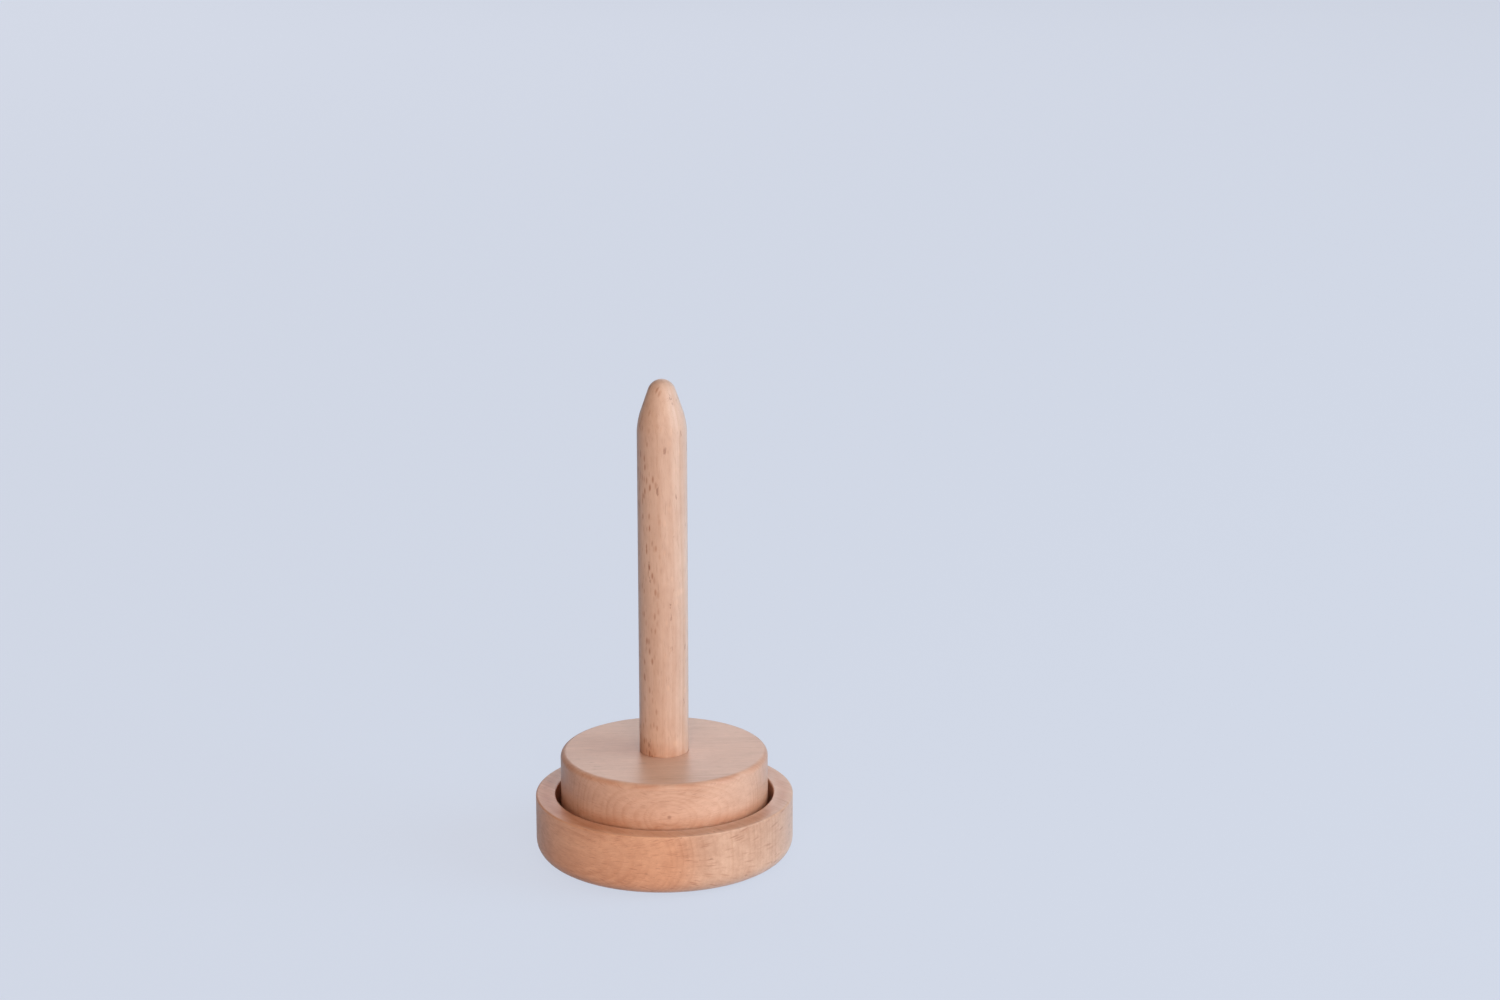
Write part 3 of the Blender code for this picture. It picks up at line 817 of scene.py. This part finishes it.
# %% [markdown]
# ## The bearing
#
# A ball track is an arc a little larger than the balls. An outline has only straight lines and
# rounded corners, so the arc is a corner whose rounding starts exactly at the two shoulders. Its
# corner then lies at the track's radius squared over the shoulder's distance, from the middle.

# %% The two rings of the bearing
race_low, race_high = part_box("bearing_outer_ring")
race_radius, race_bottom, race_top = race_high.x / MM, race_low.z / MM, race_high.z / MM
race_middle = (race_bottom + race_top) / 2
BORE = 3.0
PITCH_RADIUS = 6.25
SHOULDER = 1.25
TRACK = 1.85
SHIELD_SEAT_RADIUS = 8.1
SHIELD_SEAT_DEPTH = 0.6
EASE = 0.35
RACE_STEPS = 120
track_corner = TRACK**2 / SHOULDER
track_half = math.sqrt(TRACK**2 - SHOULDER**2)


def mirrored(corners):
    """The corners given from the bearing's middle upwards, with their mirror image below."""
    below = [(radius, -height, rounding) for radius, height, rounding in reversed(corners)]
    both = [*corners, *below]
    return [(radius, race_middle + height, rounding) for radius, height, rounding in both]


half = race_top - race_middle
outer_corners = [
    (PITCH_RADIUS + SHOULDER, track_half, 0),
    (PITCH_RADIUS + SHOULDER, half - SHIELD_SEAT_DEPTH, 0.05),
    (SHIELD_SEAT_RADIUS, half - SHIELD_SEAT_DEPTH, 0),
    (SHIELD_SEAT_RADIUS, half, 0.06),
    (race_radius, half, EASE),
]
inner_corners = [
    (PITCH_RADIUS - SHOULDER, track_half, 0),
    (PITCH_RADIUS - SHOULDER, half, 0.2),
    (BORE, half, EASE),
]
outer_track = (PITCH_RADIUS + track_corner, race_middle, TRACK * NEARLY)
inner_track = (PITCH_RADIUS - track_corner, race_middle, TRACK * NEARLY)
outer_race = turn(outline([*mirrored(outer_corners), outer_track]), RACE_STEPS)
keep("outer_race", outer_race, ground_steel, "bearing_outer_ring")
inner_race = turn(outline([*mirrored(inner_corners), inner_track]), RACE_STEPS)
keep("inner_race", inner_race, ground_steel, "bearing_inner_ring")

# %% The balls
BALL_COUNT = 7
BALL_RADIUS = 1.75
BALL_SUBDIVISIONS = 4
ball_places = []
for number in range(1, BALL_COUNT + 1):
    low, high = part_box(f"bearing_ball_{number}")
    ball_places.append(Matrix.Translation((low + high) / 2))
    ball = bmesh.new()
    bmesh.ops.create_icosphere(
        ball, subdivisions=BALL_SUBDIVISIONS, radius=BALL_RADIUS * MM, matrix=ball_places[-1]
    )
    keep(f"steel_ball_{number}", ball, polished_steel, f"bearing_ball_{number}")

# %% [markdown]
# The cage is a plain ring with a round pocket for each ball. A bmesh has no operator that cuts
# one solid with another, but the Boolean modifier does. Two throwaway objects carry the shapes
# to it, and the result comes back as a bmesh, so that the finished piece has no modifier left.

# %% Cutting one shape with another
def combine(shape, tool, operation="DIFFERENCE"):
    """The shape with the tool cut away, or joined on. Both are used up."""
    blanks = []
    for part in (shape, tool):
        mesh = bpy.data.meshes.new("blank")
        part.to_mesh(mesh)
        part.free()
        blanks.append(bpy.data.objects.new("blank", mesh))
        bpy.context.scene.collection.objects.link(blanks[-1])
    cutter = blanks[0].modifiers.new("cutter", "BOOLEAN")
    cutter.operation = operation
    cutter.object = blanks[1]
    result = bmesh.new()
    result.from_object(blanks[0], bpy.context.evaluated_depsgraph_get())
    bmesh.ops.dissolve_degenerate(result, dist=CLOSE, edges=result.edges)
    for mesh in [blank.data for blank in blanks]:
        bpy.data.meshes.remove(mesh)
    return result


# %% [markdown]
# The cage is moulded in one piece from nylon, which is creamy, a little waxy, and clouded.

# %% The cage
CAGE_STEPS = 140
CAGE_INNER, CAGE_OUTER = 5.55, 6.95
CAGE_EASE = 0.2
POCKET_RADIUS = 1.9
MILKY_FINENESS = (300, 300, 300)
ORANGE_PEEL_FINENESS = (3000, 3000, 3000)
NYLON, CLOUDED_NYLON = (0.76, 0.72, 0.60, 1), (0.66, 0.61, 0.48, 1)

cage_low, cage_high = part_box("ball_cage")
cage_nylon, tree, shader, place = new_material("cage_nylon")
milky = ramp(tree, noise(tree, stretch(tree, place["Object"], *MILKY_FINENESS), 4, 0.6), 0.3, 0.7)
tree.links.new(tint(tree, milky, NYLON, CLOUDED_NYLON), shader.inputs["Base Color"])
tree.links.new(ramp(tree, milky, 0, 1, 0.38, 0.5), shader.inputs["Roughness"])
orange_peel = noise(tree, stretch(tree, place["Object"], *ORANGE_PEEL_FINENESS))
raise_surface(tree, shader, orange_peel, 0.01 * MM)

cage_corners = [
    (radius, height / MM, CAGE_EASE)
    for radius, height in (
        (CAGE_INNER, cage_low.z),
        (CAGE_OUTER, cage_low.z),
        (CAGE_OUTER, cage_high.z),
        (CAGE_INNER, cage_high.z),
    )
]
pockets = bmesh.new()
for ball_place in ball_places:
    bmesh.ops.create_icosphere(
        pockets, subdivisions=BALL_SUBDIVISIONS, radius=POCKET_RADIUS * MM, matrix=ball_place
    )
cage = combine(turn(outline(cage_corners), CAGE_STEPS), pockets)
keep("crown_cage", cage, cage_nylon, "ball_cage")

# %% [markdown]
# Each shield is pressed from thin sheet: its rim is curled into the outer ring's seat, and a
# step stiffens it near the inner ring, which it must not touch. One outline serves for both,
# measured from the shield's outer face inwards.

# %% The shields
SHIELD_SHEET = 0.18
SHIELD_STEP = 0.35
SHIELD_CORNERS = [
    (7.95, 0, 0.08),
    (7.95, SHIELD_STEP, 0.05),
    (7.62, SHIELD_STEP, 0.05),
    (7.5, SHIELD_SHEET, 0.05),
    (6.2, SHIELD_SHEET, 0.05),
    (6.0, SHIELD_STEP, 0.05),
    (5.25, SHIELD_STEP, 0.04),
    (5.25, SHIELD_STEP - SHIELD_SHEET, 0.04),
    (5.9, SHIELD_STEP - SHIELD_SHEET, 0.05),
    (6.1, 0, 0.05),
]
for name, node, face, inwards in (
    ("shield_below", "lower_shield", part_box("lower_shield")[0].z / MM, 1),
    ("shield_above", "upper_shield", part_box("upper_shield")[1].z / MM, -1),
):
    corners = [(radius, face + inwards * depth, ease) for radius, depth, ease in SHIELD_CORNERS]
    keep(name, turn(outline(corners), RACE_STEPS), shield_steel, node)

# %% [markdown]
# ## The washers
#
# A washer is stamped: the punch rounds the edges where it enters and leaves the others sharp.

# %% Washers
WASHER_STEPS = 96
for name, node in (("washer_under_head", "head_washer"), ("washer_under_disc", "spacer_washer")):
    low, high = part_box(node)
    rim, bottom, top = high.x / MM, low.z / MM, high.z / MM
    corners = [(BORE, bottom, 0.2), (rim, bottom, 0.3), (rim, top, 0.05), (BORE, top, 0.05)]
    keep(name, turn(outline(corners), WASHER_STEPS), zinc_steel, node)

# %% [markdown]
# ## The screw and its insert
#
# A thread is an outline that climbs as it is spun. The outline covers one pitch, so each turn
# starts where the last one ended, and merging joins them into one tube. Planes cut the tube to
# length, and each open end gets a face. The thread's tip is drawn in, as a chamfer would.

# %% A threaded rod
def threaded_rod(profile, pitch, low, high, steps, chamfer=0):
    """A profile of (radius, share of the pitch), climbing from low to high, all in mm."""
    corners = [(radius, low - pitch + share * pitch, 0) for radius, share in profile]
    rod = outline(corners, closed=False)
    turns = math.ceil((high - low) / pitch) + 2
    bmesh.ops.spin(
        rod,
        geom=rod.verts[:] + rod.edges[:],
        axis=AXIS,
        dvec=(0, 0, pitch * MM / steps),
        angle=math.tau * turns,
        steps=steps * turns,
    )
    bmesh.ops.remove_doubles(rod, verts=rod.verts, dist=CLOSE)
    for end, side in ((low, -1), (high, 1)):
        geometry = rod.verts[:] + rod.edges[:] + rod.faces[:]
        plane = {"plane_co": (0, 0, end * MM), "plane_no": (0, 0, side)}
        bmesh.ops.bisect_plane(rod, geom=geometry, clear_outer=True, **plane)
    bmesh.ops.dissolve_degenerate(rod, dist=CLOSE, edges=rod.edges)
    bmesh.ops.holes_fill(rod, edges=[edge for edge in rod.edges if edge.is_boundary])
    bmesh.ops.recalc_face_normals(rod, faces=rod.faces)
    widest = max(radius for radius, _ in profile)
    for point in rod.verts if chamfer else ():
        room = (widest - max(0, point.co.z / MM - high + chamfer)) * MM
        reach = point.co.xy.length
        if reach > room:
            point.co.xy *= room / reach
    return rod


# %% [markdown]
# The screw's head is turned, the thread is joined on, and the cross for the driver is cut from
# below. The cross is a block with an arm drawn out of each of its four sides, so that no two of
# its faces lie over each other, and it narrows as it goes in, as a driver's blades do.

# %% The screw
head_low, head_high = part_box("axle_screw")
screw_bottom, screw_top, head_radius = head_low.z / MM, head_high.z / MM, head_high.x / MM
HEAD_STEPS = 96
HEAD_HEIGHT = 3.7
HEAD_ROUNDING = 2
METRIC_STEPS = 32
METRIC_PITCH = 1
INTO_HEAD = 0.6
TIP_CHAMFER = 0.8
THREAD_ROOT = 2.3
CREST = 2.85
METRIC_THREAD = [
    (THREAD_ROOT, 0),
    (THREAD_ROOT, 0.2),
    (CREST, 0.45),
    (CREST, 0.6),
    (THREAD_ROOT, 0.85),
    (THREAD_ROOT, 1),
]
BLADE = 1.4
ARM = 2.5
CROSS_DEPTH = 2.1
BELOW_HEAD = 0.1
CROSS_TAPER = 0.62

bearing_face = screw_bottom + HEAD_HEIGHT
head_corners = [
    (0, screw_bottom, 0),
    (head_radius, screw_bottom, HEAD_ROUNDING),
    (head_radius, bearing_face, 0.15),
    (0, bearing_face, 0),
]
head = turn(outline(head_corners, closed=False), HEAD_STEPS)
thread_low = bearing_face - INTO_HEAD
thread = threaded_rod(METRIC_THREAD, METRIC_PITCH, thread_low, screw_top, METRIC_STEPS, TIP_CHAMFER)
screw = combine(head, thread, "UNION")

cross = bmesh.new()
cross_middle = screw_bottom + (CROSS_DEPTH - BELOW_HEAD) / 2
block = Matrix.Translation((0, 0, cross_middle * MM)) @ Matrix.Diagonal((BLADE, BLADE, CROSS_DEPTH, 1))
bmesh.ops.create_cube(cross, size=MM, matrix=block)
sides = [face for face in cross.faces if abs(face.normal.z) < 0.5]
for arm in bmesh.ops.extrude_discrete_faces(cross, faces=sides)["faces"]:
    bmesh.ops.translate(cross, vec=arm.normal * ARM * MM, verts=arm.verts)
deep = [point for point in cross.verts if point.co.z > cross_middle * MM]
bmesh.ops.scale(cross, vec=(CROSS_TAPER, CROSS_TAPER, 1), verts=deep)
screw = combine(screw, cross)
keep("pan_head_screw", screw, zinc_steel, "axle_screw")

# %% [markdown]
# The insert bites into the dowel with a coarse, sharp outer thread, and its bore has the fine
# thread that the screw pulls on. Both come from the same function, one to keep and one to cut.

# %% The insert
insert_low, insert_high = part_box("threaded_insert")
insert_bottom, insert_top, insert_radius = insert_low.z / MM, insert_high.z / MM, insert_high.x / MM
COARSE_STEPS = 48
COARSE_PITCH = 2.2
COARSE_DEPTH = 0.7
BORE_PLAY = 0.35
PAST_ENDS = 1
INSERT_ROOT = insert_radius - COARSE_DEPTH
COARSE_THREAD = [
    (INSERT_ROOT, 0),
    (INSERT_ROOT, 0.3),
    (insert_radius, 0.6),
    (insert_radius, 0.68),
    (INSERT_ROOT, 0.96),
    (INSERT_ROOT, 1),
]
BORE_THREAD = [(radius + BORE_PLAY, share) for radius, share in METRIC_THREAD]
insert = threaded_rod(COARSE_THREAD, COARSE_PITCH, insert_bottom, insert_top, COARSE_STEPS)
bore_low, bore_high = insert_bottom - PAST_ENDS, insert_top + PAST_ENDS
bore = threaded_rod(BORE_THREAD, METRIC_PITCH, bore_low, bore_high, METRIC_STEPS)
insert = combine(insert, bore)
keep("brass_insert", insert, turned_brass, "threaded_insert")

# %% [markdown]
# ## The floor and the light
#
# The holder stands on a plain pale floor that fills the picture. A floor lit by lamps alone
# falls off with distance and looks grubby in the corners, so a part of it glows with its own
# even colour, for the camera and in reflections alone. It keeps enough of its paint to take the
# holder's shadow. What the varnish mirrors of it is dark on the left and bright on the right, as
# a black card and a white one laid beside the holder would make it.

# %% Floor
def looked_at(tree):
    """1 for what the camera sees, straight or in a reflection, and 0 for what only lights."""
    seen = put(tree, "LightPath").outputs
    reflected = calc(tree, "MAXIMUM", seen["Is Glossy Ray"], seen["Is Transmission Ray"])
    return calc(tree, "MAXIMUM", seen["Is Camera Ray"], reflected)


def for_camera(tree, otherwise, straight):
    """One value for what the camera sees straight, and another one otherwise."""
    seen = put(tree, "LightPath").outputs["Is Camera Ray"]
    return put(tree, "MapRange", {"Value": seen, "To Min": otherwise, "To Max": straight}).outputs[0]


FLOOR_SIZE = 8
FLOOR_ROUGHNESS = 0.85
FLOOR_GLOSS = 0.2
FLOOR_PAINT = (0.54, 0.574, 0.648, 1)
FLOOR_SHADE = (0.70, 0.744, 0.855, 1)
EVEN_SHARE = 0.82
MIRRORED_LEFT, MIRRORED_RIGHT = 0.1, 0.9
CARD_REACH = 0.15

floor_shape = bmesh.new()
bmesh.ops.create_grid(floor_shape, x_segments=1, y_segments=1, size=FLOOR_SIZE / 2)
floor_mesh = bpy.data.meshes.new("floor")
floor_shape.to_mesh(floor_mesh)
floor_shape.free()
floor = bpy.data.objects.new("floor", floor_mesh)
bpy.context.scene.collection.objects.link(floor)
floor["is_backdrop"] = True
floor_paint, tree, paint, place = new_material("floor_paint")
paint.inputs["Base Color"].default_value = FLOOR_PAINT
paint.inputs["Roughness"].default_value = FLOOR_ROUGHNESS
paint.inputs["Specular IOR Level"].default_value = FLOOR_GLOSS
even = put(tree, "Emission", {"Color": FLOOR_SHADE})
floor_x = put(tree, "SeparateXYZ", {0: place["Object"]}).outputs["X"]
mirrored_share = ramp(tree, floor_x, -CARD_REACH, CARD_REACH, MIRRORED_LEFT, MIRRORED_RIGHT)
glow = for_camera(tree, mirrored_share, EVEN_SHARE)
glow = calc(tree, "MULTIPLY", looked_at(tree), glow)
both = put(tree, "MixShader", {0: glow, 1: paint.outputs[0], 2: even.outputs[0]})
tree.links.new(both.outputs[0], tree.nodes["Material Output"].inputs["Surface"])
floor_mesh.materials.append(floor_paint)

# %% [markdown]
# The light is that of a small studio. The main softbox is nearly in front and a little above, a
# cool one on the right makes that side paler, and a weak one fills in from behind on the left. A
# small one straight behind gives the flats their sheen, and the spindle stands out in it as a
# soft dark reflection. Gloss sees that one alone, because the others would leave hard streaks.
# The lamps stand well away, so that the light on the floor is even. A lamp's level is how bright
# it makes a white card that faces it.

# %% Lamps
def softbox(name, azimuth, elevation, distance, size, level, colour, mirrored=False):
    """A square lamp that faces the holder's middle. Its azimuth is counted from the front."""
    lamp = bpy.data.lights.new(name, "AREA")
    lamp.shape = "SQUARE"
    lamp.size = size
    lamp.energy = level * (math.pi * distance) ** 2
    lamp.color = colour
    light = bpy.data.objects.new(name, lamp)
    light.visible_glossy = mirrored
    turned, lifted = math.radians(azimuth), math.radians(elevation)
    away = Vector(
        (math.sin(turned) * math.cos(lifted), -math.cos(turned) * math.cos(lifted), math.sin(lifted))
    )
    light.location = Vector((0, 0, cad_high.z / 2)) + distance * away
    light.rotation_euler = away.to_track_quat("Z", "Y").to_euler()
    bpy.context.scene.collection.objects.link(light)


LARGE_BOX, SMALL_BOX = 2.4, 1.4
FRONT_WARM, SIDE_COOL = (1, 0.92, 0.82), (0.62, 1, 1.28)
FILL_WARM, REAR_WARM = (1, 0.96, 0.92), (1.02, 0.96, 0.93)
softbox("front_softbox", 6, 17, distance=3.2, size=LARGE_BOX, level=0.90, colour=FRONT_WARM)
softbox("right_softbox", 80, 20, distance=3, size=LARGE_BOX, level=0.85, colour=SIDE_COOL)
softbox("fill_softbox", 212, 22, distance=3, size=LARGE_BOX, level=0.19, colour=FILL_WARM)
softbox("rear_softbox", 178, 22, distance=3, size=SMALL_BOX, level=0.075, colour=REAR_WARM, mirrored=True)

# %% [markdown]
# The world is the studio's walls: bright on the right, dim on the left, and for the camera an
# even backdrop of the floor's own colour. The walls light less than they show in reflections.

# %% World
AMBIENT = (1, 0.95, 0.9, 1)
BACKDROP = (0.72, 0.77, 0.89, 1)
DIM_FROM, BRIGHT_FROM = -0.95, 0.2
DIM_WALL = 0.14
WALL_LIGHT = 0.29
WALL_MIRRORED = 0.8
world = bpy.data.worlds.new("studio")
bpy.context.scene.world = world
world.use_nodes = True
sky = world.node_tree
sky.nodes.clear()
sky_x = put(sky, "SeparateXYZ", {0: put(sky, "TexCoord").outputs["Generated"]}).outputs["X"]
wall = ramp(sky, sky_x, DIM_FROM, BRIGHT_FROM, DIM_WALL, 1)
dimmed = calc(sky, "MULTIPLY", wall, WALL_LIGHT)
ambient = put(sky, "Background", {"Color": AMBIENT, "Strength": dimmed})
bright = for_camera(sky, calc(sky, "MULTIPLY", wall, WALL_MIRRORED), 1)
backdrop = put(sky, "Background", {"Color": BACKDROP, "Strength": bright})
either = put(sky, "MixShader", {0: looked_at(sky), 1: ambient.outputs[0], 2: backdrop.outputs[0]})
put(sky, "OutputWorld", {"Surface": either.outputs[0]})

# %% View
bpy.context.scene.view_settings.view_transform = "Standard"

# %% [markdown]
# Last, the size of everything that shows is printed, as the imported model's size was above, so
# that the two can be compared.

# %% Sizes
low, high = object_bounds()
print("Sizes, mm:", [round(side / MM, 2) for side in high - low])
